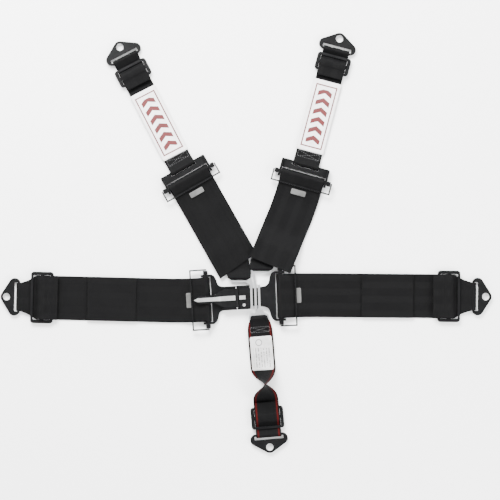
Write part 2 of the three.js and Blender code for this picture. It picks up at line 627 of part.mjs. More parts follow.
// ---- the whole harness ----
const leftLap = frameAt(LATCH.x, LATCH.y, LATCH.heading, ...latchParts(), ...lapBelt("left", LAP_BEND.left));
const rightLap = frameAt(LINK.x, LINK.y, LINK.heading, linkPlate(), ...lapBelt("right", LAP_BEND.right));
const loops = Object.entries(LOOPS).map(([side, loop]) => loopFitting(`${side}_loop`, loop));
const harness = new THREE.Group();
harness.add(leftLap, rightLap, ...loops, shoulderBelt("left"), shoulderBelt("right"), crotchBelt());
const footprint = new THREE.Box3().setFromObject(harness, true).getCenter(new THREE.Vector3());
harness.position.set(-footprint.x, -footprint.y, 0);
export default harness;
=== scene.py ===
# Looks for a five-point racing harness laid out flat: webbing, stitching, labels, metal, floor, light.
# Paths are in mm and pieces in metres, in the CAD's frame. Each belt has its own frame, as in the CAD:
# origin at the bar it loops round, +X along the belt towards its anchor bracket.
import json
import math

import bmesh
import bpy
from mathutils import Matrix, Vector


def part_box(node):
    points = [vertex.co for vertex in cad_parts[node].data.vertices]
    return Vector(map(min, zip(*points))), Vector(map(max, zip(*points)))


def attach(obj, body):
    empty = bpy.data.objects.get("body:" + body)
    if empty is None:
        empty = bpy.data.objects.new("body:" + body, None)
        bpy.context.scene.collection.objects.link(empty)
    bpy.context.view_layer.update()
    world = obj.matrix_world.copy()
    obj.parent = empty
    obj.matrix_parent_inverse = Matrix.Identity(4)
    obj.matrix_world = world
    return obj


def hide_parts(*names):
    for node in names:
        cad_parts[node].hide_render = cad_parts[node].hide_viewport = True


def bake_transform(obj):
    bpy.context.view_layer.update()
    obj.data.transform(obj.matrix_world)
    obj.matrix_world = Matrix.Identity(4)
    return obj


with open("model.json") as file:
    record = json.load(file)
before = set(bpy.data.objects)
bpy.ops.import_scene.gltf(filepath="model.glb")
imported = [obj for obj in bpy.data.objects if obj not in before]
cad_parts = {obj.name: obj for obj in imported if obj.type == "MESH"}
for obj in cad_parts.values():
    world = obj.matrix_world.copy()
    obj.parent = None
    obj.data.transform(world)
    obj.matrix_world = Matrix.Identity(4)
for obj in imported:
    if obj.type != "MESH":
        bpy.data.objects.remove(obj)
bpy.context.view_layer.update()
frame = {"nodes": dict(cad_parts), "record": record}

MM = 0.001
THICK = 1.8  # webbing
GAP = 0.4  # webbing to bar
LAYER = THICK + 0.3
GROUND = THICK / 2
BAR_RADIUS = 4.5
BAR_WRAP = BAR_RADIUS + GAP + THICK / 2
BAR_Z = GROUND + BAR_WRAP
TAIL_Z = GROUND + LAYER
EDGE_WRAP = math.hypot(2.1, 1.6) + GAP / 2 + THICK / 2
EDGE_Z = GROUND + EDGE_WRAP
SLIDE_TOP, SLIDE_CENTRE = 7.3, 2.5  # three-bar slide: its height and its centre bar's half width
FRAME_EDGE = 21.8
RING_WEB = 27.4  # webbing width inside a loop's ring
LOOP_HEADING = 90.0  # both shoulder loops point straight up the layout


def middle(node):
    lo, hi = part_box(node)
    return (lo + hi) / 2 / MM


# The CAD puts its origin at the centre of the footprint, so every belt starts from its own slide bar.
LEFT_LAP = middle("lap_left_slide_bar")
RIGHT_LAP = middle("lap_right_slide_bar")
SHIFT = Vector((LEFT_LAP.x + 69.4, LEFT_LAP.y + 97.5))


# ---- node materials ----
class Nodes:
    """A material whose nodes are added one after another."""

    def __init__(self, name, **shader):
        self.material = bpy.data.materials.new(name)
        self.material.use_nodes = True
        self.tree = self.material.node_tree
        self.bsdf = self.tree.nodes["Principled BSDF"]
        for key, value in shader.items():
            self.bsdf.inputs[key.replace("_", " ")].default_value = value

    def add(self, kind, inputs=None, **settings):
        node = self.tree.nodes.new("ShaderNode" + kind)
        for key, value in settings.items():
            setattr(node, key, value)
        for key, value in (inputs or {}).items():
            if isinstance(value, bpy.types.NodeSocket):
                self.tree.links.new(value, node.inputs[key])
            else:
                node.inputs[key].default_value = value
        return node

    def math(self, operation, a, b=0.0, c=0.0):
        return self.add("Math", {0: a, 1: b, 2: c}, operation=operation).outputs[0]

    def mix(self, factor, a, b):
        node = self.add("Mix", data_type="RGBA")
        for socket, value in ((node.inputs[0], factor), (node.inputs[6], a), (node.inputs[7], b)):
            if isinstance(value, bpy.types.NodeSocket):
                self.tree.links.new(value, socket)
            else:
                socket.default_value = value
        return node.outputs[2]

    def noise(self, scale, detail=4.0, roughness=0.55, vector=None):
        vector = vector or self.add("TexCoord").outputs["Object"]
        inputs = {"Vector": vector, "Scale": scale, "Detail": detail, "Roughness": roughness}
        return self.add("TexNoise", inputs).outputs["Fac"]

    def ramp(self, value, low, high, to_low=0.0, to_high=1.0):
        inputs = {"Value": value, "From Min": low, "From Max": high, "To Min": to_low, "To Max": to_high}
        return self.add("MapRange", inputs).outputs["Result"]

    def link(self, socket, name):
        self.tree.links.new(socket, self.bsdf.inputs[name])

    def bump(self, height, distance, strength=1.0):
        inputs = {"Height": height, "Distance": distance, "Strength": strength}
        self.link(self.add("Bump", inputs).outputs["Normal"], "Normal")


def uv_axes(m):
    """The strip's own coordinates in metres: across from its middle, and along its length."""
    split = m.add("SeparateXYZ", {"Vector": m.add("UVMap", uv_map="web").outputs["UV"]})
    return split.outputs["X"], split.outputs["Y"]


def twill(m, across, along, pitch=0.0017, panel=0.0125):
    """Height of a herringbone weave: diagonal ribs that turn back at each lengthwise panel."""
    zigzag = m.math("PINGPONG", m.math("ADD", across, 1.0), panel)
    diagonal = m.math("ADD", along, m.math("MULTIPLY", zigzag, 1.15))
    ribs = m.math("SINE", m.math("MULTIPLY", diagonal, 2 * math.pi / pitch))
    threads = m.math("SINE", m.math("MULTIPLY", across, 2 * math.pi / 0.00085))
    turns = m.math("ABSOLUTE", m.math("COSINE", m.math("MULTIPLY", across, math.pi / panel)))
    seam = m.math("POWER", turns, 24.0)
    height = m.math("ADD", m.math("MULTIPLY", ribs, 0.55), m.math("MULTIPLY", threads, 0.3))
    return m.math("SUBTRACT", height, m.math("MULTIPLY", seam, 0.25))


def webbing_material(name, stripes):
    m = Nodes(name, Roughness=0.62, Sheen_Weight=0.006, Sheen_Roughness=0.4, Specular_IOR_Level=0.05)
    across, along = uv_axes(m)
    height = twill(m, across, along)
    fuzz = m.noise(2600.0, 2.0)
    cloud = m.noise(26.0, 3.0)
    # Colour follows the weave: its raised ribs are painted lighter and its grooves darker, a painted highlight
    # and painted shade, mixed with random fibre fuzz. The red stripes take the same painted shade.
    wear_and_weave_shade = m.ramp(m.math("ADD", height, m.math("MULTIPLY", fuzz, 0.8)), -0.6, 1.3)
    dark = m.mix(wear_and_weave_shade, (0.0004, 0.0004, 0.0005, 1), (0.0026, 0.0026, 0.0028, 1))
    light = m.mix(wear_and_weave_shade, (0.0008, 0.0008, 0.0009, 1), (0.0040, 0.0040, 0.0042, 1))
    colour = m.mix(m.ramp(cloud, 0.35, 0.68), dark, light)
    if stripes:
        from_edge = m.math("SUBTRACT", 0.022, m.math("ABSOLUTE", across))
        inside, core = (
            m.math("MULTIPLY", m.math("GREATER_THAN", from_edge, near), m.math("LESS_THAN", from_edge, far))
            for near, far in ((0.0026, 0.0054), (0.0038, 0.0042)))
        red = m.mix(wear_and_weave_shade, (0.012, 0.0003, 0.0003, 1), (0.062, 0.0012, 0.001, 1))
        colour = m.mix(m.math("SUBTRACT", inside, m.math("MULTIPLY", core, 0.6)), colour, red)
    m.link(colour, "Base Color")
    m.link(m.ramp(m.math("ADD", cloud, m.math("MULTIPLY", height, 0.12)), 0.2, 0.9, 0.52, 0.74), "Roughness")
    m.bump(m.math("ADD", height, m.math("MULTIPLY", fuzz, 0.5)), 0.00016, 0.9)
    return m.material


def thread_material(name, low, high):
    m = Nodes(name, Roughness=0.5, Sheen_Weight=0.2, Specular_IOR_Level=0.4)
    twist = m.add("TexWave", {"Scale": 900.0, "Distortion": 1.5, "Vector": m.add("TexCoord").outputs["Object"]},
                  bands_direction="DIAGONAL").outputs["Fac"]
    # The twist's ridges are painted lighter and its hollows darker: a painted highlight and painted shade along
    # the black thread.
    m.link(m.mix(twist, low, high), "Base Color")
    m.bump(twist, 0.0001, 0.6)
    return m.material


def coated_metal(name, low, high, rough, wear_and_weave_shade):
    """Dark coated steel: fine orange peel, cloudy gloss and brighter rubbed scratches. Given lighter colours,
    it paints a highlight on the edges.
    """
    m = Nodes(name, Specular_IOR_Level=0.12)
    peel = m.noise(1400.0, 2.0)
    cloud = m.noise(60.0, 5.0, 0.6)
    scratch = m.noise(420.0, 6.0, 0.75)
    scuffed = m.math("MULTIPLY", m.ramp(scratch, 0.6, 0.7), wear_and_weave_shade)
    m.link(m.mix(scuffed, m.mix(cloud, low, high), (0.02, 0.02, 0.021, 1)), "Base Color")
    m.link(m.ramp(m.math("ADD", cloud, m.math("MULTIPLY", scratch, 0.35)), 0.3, 0.95, *rough), "Roughness")
    m.bump(m.math("ADD", peel, m.math("MULTIPLY", scratch, 0.4)), 0.00006, 0.5)
    return m.material


def bright_metal(name, low, high, rough, brushed):
    m = Nodes(name, Metallic=1.0, Specular_IOR_Level=0.5)
    coords = m.add("TexCoord").outputs["Object"]
    if brushed:
        stretched = m.add("Mapping", {"Vector": coords, "Scale": (18.0, 900.0, 400.0)}).outputs["Vector"]
    else:
        stretched = m.add("Mapping", {"Vector": coords, "Scale": (160.0, 160.0, 160.0)}).outputs["Vector"]
    grain = m.noise(1.0, 4.0, 0.6, stretched)
    smudge = m.noise(90.0, 4.0)
    m.link(m.mix(smudge, low, high), "Base Color")
    gloss = m.math("ADD", m.math("MULTIPLY", grain, 0.6), m.math("MULTIPLY", smudge, 0.4))
    m.link(m.ramp(gloss, 0.3, 0.7, *rough), "Roughness")
    m.bump(grain, 0.00003 if brushed else 0.00002, 0.5)
    return m.material


def label_material(name, low, high, spacing=0.0007):
    m = Nodes(name, Roughness=0.55, Sheen_Weight=0.1, Specular_IOR_Level=0.35)
    across, along = uv_axes(m)
    weft = m.math("SINE", m.math("MULTIPLY", across, 2 * math.pi / spacing))
    warp = m.math("SINE", m.math("MULTIPLY", along, 2 * math.pi / spacing))
    weave = m.math("MULTIPLY", weft, warp)
    soil = m.noise(70.0, 4.0)
    # Soil mottles the label, and the weave adds a little painted shade: its threads lighter, the gaps between
    # them darker.
    soil_and_weave_shade = m.ramp(m.math("ADD", m.math("MULTIPLY", weave, 0.12), soil), 0.2, 0.8)
    m.link(m.mix(soil_and_weave_shade, low, high), "Base Color")
    m.link(m.ramp(soil, 0.3, 0.7, 0.45, 0.65), "Roughness")
    m.bump(weave, 0.00008, 0.6)
    return m.material


BLACK_WEB = webbing_material("black_webbing", False)
STRIPED_WEB = webbing_material("striped_webbing", True)
BLACK_THREAD = thread_material("black_thread", (0.008, 0.008, 0.009, 1), (0.04, 0.04, 0.043, 1))
BLACK_METAL = coated_metal("black_metal", (0.0006, 0.0006, 0.0008, 1), (0.0022, 0.0023, 0.0026, 1),
                           (0.3, 0.5), 0.12)
CHROME = bright_metal("chrome", (0.72, 0.73, 0.745, 1), (0.86, 0.865, 0.87, 1), (0.06, 0.2), False)
POLISHED = bright_metal("polished_steel", (0.68, 0.68, 0.68, 1), (0.84, 0.84, 0.835, 1), (0.14, 0.32), True)
WHITE_LABEL = label_material("white_label", (0.72, 0.71, 0.69, 1), (0.86, 0.855, 0.84, 1))
RED_PRINT = label_material("red_print", (0.5, 0.018, 0.022, 1), (0.66, 0.035, 0.04, 1))
DARK_PRINT = label_material("dark_print", (0.05, 0.05, 0.055, 1), (0.12, 0.12, 0.125, 1))
GREY_TAG = label_material("grey_tag", (0.028, 0.028, 0.027, 1), (0.09, 0.09, 0.087, 1))


# ---- belt paths, in mm, as in the CAD ----
def route(bend=0.0, start=0.0, end=1.0, way=1):
    """The line a belt follows on the ground: distance along it -> (x, y, heading)."""
    if not bend:
        return lambda x: (x, 0.0, 0.0)
    radius = (end - start) / math.radians(bend)

    def line(x):
        s = x * way
        turned = math.radians(bend) * min(max((s - start) / (end - start), 0), 1)
        after = max(s - end, 0)
        px = min(s, start) + radius * math.sin(turned) + after * math.cos(turned)
        py = radius * (1 - math.cos(turned)) + after * math.sin(turned)
        return (px * way, py * way, turned)

    return line


def lobe_route(main, start, target):
    """main as far as start, then a smooth curve on to the loop's edge bar; also its whole length."""
    x, y, heading = main(-start)
    tx, ty, turned = target
    p0, p3 = Vector((x, y)), Vector((tx, ty))
    leave = Vector((-math.cos(heading), -math.sin(heading)))
    arrive = Vector((-math.cos(turned), -math.sin(turned)))
    reach = (p3 - p0).length / 3
    p1, p2 = p0 + leave * reach, p3 - arrive * reach
    steps = 200
    curve = []
    for i in range(steps + 1):
        t = i / steps
        curve.append(p0 * (1 - t) ** 3 + p1 * 3 * t * (1 - t) ** 2 + p2 * 3 * t * t * (1 - t) + p3 * t**3)
    far = [0.0]
    for a, b in zip(curve, curve[1:]):
        far.append(far[-1] + (b - a).length)

    def line(s):
        if -s <= start:
            return main(s)
        along = -s - start
        if along >= far[-1]:
            p = p3 + arrive * (along - far[-1])
            return (p.x, p.y, turned)
        i = max(k for k in range(steps) if far[k] <= along)
        share = (along - far[i]) / (far[i + 1] - far[i])
        p = curve[i].lerp(curve[i + 1], share)
        d = curve[i + 1] - curve[i]
        return (p.x, p.y, math.atan2(-d.y, -d.x))

    return line, start + far[-1]


def point(x, z, width, plan, skew=0.0, twist=0.0):
    return {"x": x, "z": z, "width": width, "plan": plan, "skew": skew, "twist": twist}


def turn(cx, cz, radius, from_deg, to_deg, width, plan, steps=16, twist=0.0):
    """Round a bar; width is one number, or a function of the angle in degrees."""
    points = []
    for i in range(steps + 1):
        degrees = from_deg + (to_deg - from_deg) * i / steps
        a = math.radians(degrees)
        w = width(degrees) if callable(width) else width
        points.append(point(cx + radius * math.cos(a), cz + radius * math.sin(a), w, plan, 0.0, twist))
    return points


def anchor_run(slide, half, edge, width, bunched, plan, twist=0.0):
    """Over the slide's centre bar, round the bracket's edge bar and back over the first layer."""
    hump = SLIDE_TOP + GAP + GROUND
    flat = SLIDE_CENTRE + 1.6
    slope = (hump - GROUND) / 1.732
    shift = LAYER * 0.58
    between = (width + bunched) / 2
    legs = [
        (slide - flat - slope - 12, GROUND, width), (slide - flat - slope, GROUND, width),
        (slide - flat, hump, width), (slide + flat, hump, width),
        (slide + flat + slope, GROUND, width), (slide + half, GROUND, between),
    ]
    back = [
        (slide + half + 1, TAIL_Z, between), (slide + flat + slope + LAYER, TAIL_Z, width),
        (slide + flat + shift, hump + LAYER, width), (slide - flat - shift, hump + LAYER, width),
        (slide - SLIDE_CENTRE - 6, hump + 0.1, width), (slide - half - 8, hump - 0.6, width),
    ]
    round_edge = turn(edge, EDGE_Z, EDGE_WRAP, -90, 130, bunched, plan, 14, twist)
    legs = [point(*leg, plan, 0.0, twist) for leg in legs]
    return legs + round_edge + [point(*leg, plan, 0.0, twist) for leg in back]


def blend_points(a, b, share):
    keys = ("x", "z", "width", "skew", "twist")
    mixed = {key: a[key] + (b[key] - a[key]) * share for key in keys}
    mixed["plan"] = a["plan"] if a.get("keeps") or share < 0.5 else b["plan"]
    mixed["keeps"] = a.get("keeps", False)
    return mixed


def rounded(points, passes=2):
    """Cuts every corner of the path, so that the webbing bends instead of creasing."""
    for _ in range(passes):
        cut = [points[0]]
        for a, b in zip(points, points[1:]):
            span = math.hypot(b["x"] - a["x"], b["z"] - a["z"])
            share = min(0.25, 4.0 / max(span, 0.01))
            cut += [blend_points(a, b, share), blend_points(a, b, 1 - share)]
        points = cut + [points[-1]]
    return points


def resampled(points, step):
    out = [points[0]]
    for a, b in zip(points, points[1:]):
        span = math.hypot(b["x"] - a["x"], b["z"] - a["z"])
        if span < 0.05:
            continue
        count = max(1, math.ceil(span / step))
        out += [blend_points(a, b, (i + 1) / count) for i in range(count)]
    return out


def ripple(x, y):
    """How far the ground layer lifts off the floor, in mm: the same for every layer above it."""
    wave = math.sin(x * 0.047 + 1.3) * math.sin(y * 0.061 + 0.4) + 0.5 * math.sin(x * 0.11 - y * 0.083)
    return 0.22 + 0.14 * wave


class Belt:
    """A strip of webbing along a path, with its own coordinates for weave and stitches."""

    def __init__(self, place, points, step=2.4):
        self.place = place
        path = resampled(rounded(points), step)
        self.rows = []
        length = 0.0
        for i, here in enumerate(path):
            before, after = path[max(i - 1, 0)], path[min(i + 1, len(path) - 1)]
            run, rise = after["x"] - before["x"], after["z"] - before["z"]
            size = math.hypot(run, rise) or 1.0
            run, rise = run / size, rise / size
            gx, gy, heading = here["plan"](here["x"])
            forward = Vector((math.cos(heading), math.sin(heading), 0))
            if 0 < here["twist"] < 180:  # the half twist turns about a level line, so it narrows evenly
                run, rise = 1.0, 0.0
            normal = Vector((-rise * forward.x, -rise * forward.y, run))
            side = heading + math.radians(90 + here["skew"])
            across = Vector((math.cos(side), math.sin(side), 0))
            along = across.cross(normal).normalized()
            turn_by = Matrix.Rotation(math.radians(here["twist"]), 3, along)
            across = (turn_by @ across) / math.cos(math.radians(here["skew"]))
            centre = Vector((gx, gy, here["z"]))
            if self.rows:
                length += (centre - self.rows[-1]["centre"]).length
            self.rows.append({"centre": centre, "across": across, "normal": turn_by @ normal,
                              "half": here["width"] / 2, "v": length, "x": here["x"]})
        self.length = length

    def row(self, v):
        rows = self.rows
        v = min(max(v, 0.0), self.length)
        lo, hi = 0, len(rows) - 1
        while hi - lo > 1:
            mid = (lo + hi) // 2
            lo, hi = (mid, hi) if rows[mid]["v"] <= v else (lo, mid)
        a, b = rows[lo], rows[hi]
        share = (v - a["v"]) / max(b["v"] - a["v"], 1e-6)
        return {key: a[key] + (b[key] - a[key]) * share for key in ("centre", "across", "normal", "half")}

    def v_of(self, x, leg):
        """Distance along the strip where its path is at x, on the first (0) or last (-1) pass."""
        hits = [r["v"] for a, r in zip(self.rows, self.rows[1:]) if (a["x"] - x) * (r["x"] - x) <= 0]
        return hits[leg]

    def world(self, row, u, lift):
        """u mm off the middle and lift mm off the strip's middle plane, in the row frame in metres."""
        p = row["centre"] + row["across"] * u + row["normal"] * lift
        spot = self.place @ Vector((p.x, p.y, p.z))
        spot.z += ripple(spot.x, spot.y)
        return spot * MM

    def mesh(self, name, columns=18):
        ring = []
        r = THICK / 2
        for i in range(columns + 1):
            ring.append((-1 + 2 * i / columns, 0, 1))
        for degrees in (60, 20, -20, -60):
            ring.append((1, math.cos(math.radians(degrees)), math.sin(math.radians(degrees))))
        for i in range(columns + 1):
            ring.append((1 - 2 * i / columns, 0, -1))
        for degrees in (-60, -20, 20, 60):
            ring.append((-1, -math.cos(math.radians(degrees)), math.sin(math.radians(degrees))))
        vertices, uvs, faces = [], [], []
        for row in self.rows:
            flat = row["half"] - r
            for share, out, up in ring:
                u = share * flat + out * r
                selvedge = 1.0 - 0.12 * (abs(share) > 0.93) * (out == 0)
                vertices.append(self.world(row, u, up * r * selvedge))
                uvs.append((u * MM, row["v"] * MM))
        n = len(ring)
        for k in range(len(self.rows) - 1):
            for j in range(n):
                a, b = k * n + j, k * n + (j + 1) % n
                faces.append((a, b, b + n, a + n))
        last = (len(self.rows) - 1) * n
        faces += [tuple(range(n - 1, -1, -1)), tuple(last + j for j in range(n))]
        return build(name, vertices, faces, uvs)


def build(name, vertices, faces, uvs=None, smooth=True):
    mesh = bpy.data.meshes.new(name)
    mesh.from_pydata([tuple(v) for v in vertices], [], faces)
    mesh.validate()
    if uvs:
        layer = mesh.uv_layers.new(name="web")
        for loop in mesh.loops:
            layer.data[loop.index].uv = uvs[loop.vertex_index]
    mesh.polygons.foreach_set("use_smooth", [smooth] * len(mesh.polygons))
    mesh.update()
    obj = bpy.data.objects.new(name, mesh)
    bpy.context.scene.collection.objects.link(obj)
    return obj


def outward(obj):
    """Turns every face outward."""
    shell = bmesh.new()
    shell.from_mesh(obj.data)
    bmesh.ops.recalc_face_normals(shell, faces=shell.faces)
    shell.to_mesh(obj.data)
    shell.free()


def finish_piece(obj, material, body, slot, *nodes):
    obj.data.materials.append(material)
    outward(obj)
    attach(obj, body)
    if nodes:
        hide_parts(*nodes)
    return obj


def stitches(name, belt, lines, side=1, length=2.6, gap=1.1, radius=0.34):
    """Threads along straight lines (v0, u0, v1, u1) on a belt's upper (1) or lower (-1) face."""
    vertices, faces = [], []
    sides, rings = 6, ((0.0, 0.25), (0.16, 0.85), (0.5, 1.0), (0.84, 0.85), (1.0, 0.25))
    for v0, u0, v1, u1 in lines:
        size = math.hypot(v1 - v0, u1 - u0)
        count = max(1, int(size / (length + gap)))
        pitch = size / count
        for i in range(count):
            begin = len(vertices)
            for share, swell in rings:
                t = (i * pitch + gap / 2 + share * (pitch - gap)) / size
                row = belt.row(v0 + (v1 - v0) * t)
                u = u0 + (u1 - u0) * t
                dv, du = (v1 - v0) / size, (u1 - u0) / size
                arch = 0.16 * math.sin(math.pi * share)
                for k in range(sides):
                    a = 2 * math.pi * k / sides
                    off = radius * swell * math.cos(a)
                    up = THICK / 2 + arch + radius * swell * 0.7 * math.sin(a)
                    shifted = belt.row(v0 + (v1 - v0) * t - du * off) if abs(du) > 0.1 else row
                    vertices.append(belt.world(shifted, u + dv * off, side * up))
            for ring in range(len(rings) - 1):
                for k in range(sides):
                    a = begin + ring * sides + k
                    b = begin + ring * sides + (k + 1) % sides
                    faces.append((a, b, b + sides, a + sides))
            faces.append(tuple(begin + k for k in range(sides)))
            faces.append(tuple(begin + (len(rings) - 1) * sides + k for k in range(sides - 1, -1, -1)))
    return build(name, vertices, faces)


def box_stitch(v0, v1, half, cross=False):
    lines = [(v0, -half, v0, half), (v1, -half, v1, half), (v0, -half, v1, -half), (v0, half, v1, half)]
    if cross:
        lines += [(v0, -half, v1, half), (v0, half, v1, -half)]
    return lines


def placed(x, y, heading):
    return Matrix.Translation((x, y, 0)) @ Matrix.Rotation(math.radians(heading), 4, "Z")


# ---- lap belts ----
LAP = {
    "left": dict(at=LEFT_LAP, heading=183.5, bend=-4.9, slide=286.6, edge=326.7, hem_from=123.0, hem_to=206.2),
    "right": dict(at=RIGHT_LAP, heading=2.0, bend=-2.5, slide=292.1, edge=334.7, hem_from=141.0, hem_to=229.3),
}
LAP_WEB, LAP_BUNCHED, LAP_FOLD = 76.5, 48.0, 40.0
TAG_SIZE, TAG_Z, TAG_RISE = (9.5, 26), 6.7, 0.8
SEAM_INSET = 3.5


def lap_points(lap, plan):
    hem_z = TAIL_Z + LAYER
    w = LAP_WEB
    tail = [
        point(lap["hem_from"], hem_z + 0.5, w, plan), point(lap["hem_from"] + 9, hem_z, w, plan),
        *turn(lap["hem_to"], (TAIL_Z + hem_z) / 2, LAYER / 2, 90, -90, w, plan, 8),
        point(70, TAIL_Z, w, plan), point(46, TAIL_Z, w, plan),
        point(32, 4.6, w, plan), point(20, 7.6, w, plan),
    ]
    wrap = turn(0, BAR_Z, BAR_WRAP, 65, 270, w, plan, 20)
    run = [point(20, GROUND, w, plan), point(45, GROUND, w, plan), point(70, GROUND, w, plan)]
    return tail + wrap + run + anchor_run(lap["slide"], 19.5, lap["edge"], w, LAP_BUNCHED, plan)


def flat_on(place, centre, z):
    """Where a label lies that stays level: (across, along, height) in mm -> a point in metres."""
    c, s = math.cos(centre[2]), math.sin(centre[2])

    def spot(u, v, h):
        p = place @ Vector((centre[0] + v * c - u * s, centre[1] + v * s + u * c, 0))
        return Vector((p.x, p.y, z + h + ripple(p.x, p.y))) * MM

    return spot


def label_piece(name, spot, size, rise, body, slot, material, node, corner=1.2, drape=0.0):
    """A thin woven label with rounded corners; with drape, its sides turn down over the strap."""
    long, wide = size
    columns, rows = 24, max(8, int(long / 3))
    vertices, uvs, faces = [], [], []
    profile = [(-1.0, -drape)] * (drape > 0) + [(-1 + 2 * i / columns, 0.0) for i in range(columns + 1)]
    profile += [(1.0, -drape)] * (drape > 0)
    for layer_lift in (rise, 0.0):
        for i in range(rows + 1):
            s = -1 + 2 * i / rows
            v = s * long / 2
            past = max(0.0, (abs(v) - long / 2 + corner) / corner)
            inset = corner * (1 - math.sqrt(max(0.0, 1 - past**2)))
            for share, down in profile:
                u = share * (wide / 2 - inset)
                edge = (1 - min(1.0, (1 - abs(share)) * 9)) ** 2 * (1 if drape else 0.35)
                pull = 0.16 * math.sin(v * 0.23) * abs(share) ** 3
                vertices.append(spot(u, v, layer_lift - edge * 0.45 + down + pull))
                uvs.append((u * MM, v * MM))
    n = len(profile)
    half = n * (rows + 1)
    for i in range(rows):
        for j in range(n - 1):
            a = i * n + j
            faces.append((a, a + n, a + n + 1, a + 1))
            faces.append((half + a, half + a + 1, half + a + n + 1, half + a + n))
    rim = list(range(n)) + [i * n + n - 1 for i in range(1, rows + 1)]
    rim += [rows * n + j for j in range(n - 2, -1, -1)] + [i * n for i in range(rows - 1, 0, -1)]
    for a, b in zip(rim, rim[1:] + rim[:1]):
        faces.append((a, b, half + b, half + a))
    obj = build(name, vertices, faces, uvs)
    return finish_piece(obj, material, body, slot, node)


for side, lap in LAP.items():
    plan = route(lap["bend"], 12, 70)
    place = placed(lap["at"].x, lap["at"].y, lap["heading"])
    belt = Belt(place, lap_points(lap, plan))
    web = belt.mesh(f"lap_{side}_strap")
    web.data.materials.append(BLACK_WEB)
    outward(web)
    fold = [place @ Vector((x, 0, 3)) * MM for x in (LAP_FOLD - 7, LAP_FOLD + 9)]
    tuple(fold[0])
    tuple(fold[1])
    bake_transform(web)
    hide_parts(f"lap_{side}_webbing", f"lap_{side}_tail_webbing", f"lap_{side}_wrap_webbing")
    half = LAP_WEB / 2 - SEAM_INSET
    hem = [belt.v_of(lap["hem_from"] + d, 0) for d in (4.0, 13.0)]
    sewn = stitches(f"lap_{side}_hem_stitches", belt, box_stitch(hem[0], hem[1], half), -1)
    finish_piece(sewn, BLACK_THREAD, f"lap_{side}_belt", "black_webbing")
    tag_at = plan(31)
    label_piece(f"lap_{side}_label", flat_on(place, (*tag_at[:2], 0.0), TAG_Z), TAG_SIZE, TAG_RISE,
                f"lap_{side}_bar", "grey_tag", GREY_TAG, f"lap_{side}_tag")

# ---- shoulder belts ----
SHOULDER = {
    "left": dict(x=-101.0, y=113.0, heading=119.5, upper_bend=-2.2, slide=206.9, edge=235.7,
                 turned=0.0, lobe_from=118.0, tail=175.0, skew=6.0, end_z=5.6, bar=(-13.5, -59.0)),
    "right": dict(x=96.7, y=115.1, heading=74.5, upper_bend=0.7, slide=203.0, edge=227.0,
                  turned=-7.0, lobe_from=105.0, tail=163.0, skew=0.0, end_z=12.7, bar=(25.0, -43.5)),
}
SHOULDER_WEB, ANCHOR_WEB = 77.0, 46.0
SLEEVE_SIZE, LABEL_Z, LABEL_RISE = (126, 48.4), 4.25, 0.7


def gathered(open_width):
    """The webbing gathers where it passes through the ring and spreads as it leaves the bar."""
    def width(degrees):
        inside = max(0.0, -math.cos(math.radians(degrees)))
        return open_width - (open_width - RING_WEB) * inside**2

    return width


def lower_points(belt):
    main = route(belt["turned"], 20, 75, -1)
    c, s = math.cos(math.radians(belt["heading"])), math.sin(math.radians(belt["heading"]))
    dx, dy = belt["bar"][0] - belt["x"], belt["bar"][1] - belt["y"]
    target = (dx * c + dy * s, -dx * s + dy * c, math.radians(LOOP_HEADING - belt["heading"]))
    lobe, length = lobe_route(main, belt["lobe_from"], target)
    w, tail, end_z = SHOULDER_WEB, belt["tail"], belt["end_z"]
    under = [
        point(-length + 44, TAIL_Z, 44, lobe), point(-length + 14, TAIL_Z + 0.4, 43, lobe),
        point(-length + 6, 6.6, 42, lobe),
        *turn(-length, EDGE_Z, EDGE_WRAP, 72, 270, gathered(40), lobe, 18),
        point(-length + 14, GROUND, 42, lobe), point(-length + 30, GROUND, 46, lobe),
        point(-length + 50, GROUND, 60, lobe),
    ]
    for item in under:
        item["keeps"] = True
    return under + [
        point(-92, GROUND, w, main), point(-75, GROUND, w, main),
        point(-48, GROUND, w, main), point(-20, GROUND, w, main),
        *turn(0, BAR_Z, BAR_WRAP, -90, 115, w, main, 20),
        point(-15, 7.3, w, main), point(-32, 4.4, w, main),
        point(-48, TAIL_Z, w, main), point(-75, TAIL_Z, w, main),
        point(-tail + 62, TAIL_Z, w, main), point(-tail + 34, end_z, w, main),
        point(-tail + 10, end_z, w, main),
        point(-tail, end_z, w, main, belt["skew"]),
    ]


def upper_points(belt, plan):
    w = ANCHOR_WEB
    return [
        point(174, GROUND, w, plan), point(60, GROUND, w, plan), point(FRAME_EDGE + 8, GROUND, w, plan),
        *turn(FRAME_EDGE, EDGE_Z, EDGE_WRAP, 270, 60, w, plan, 16),
        point(FRAME_EDGE + 15, TAIL_Z, w, plan), point(60, TAIL_Z, w, plan), point(174, TAIL_Z, w, plan),
        point(181, GROUND, w, plan),
        *anchor_run(belt["slide"], 15.5, belt["edge"], w, w, plan),
    ]


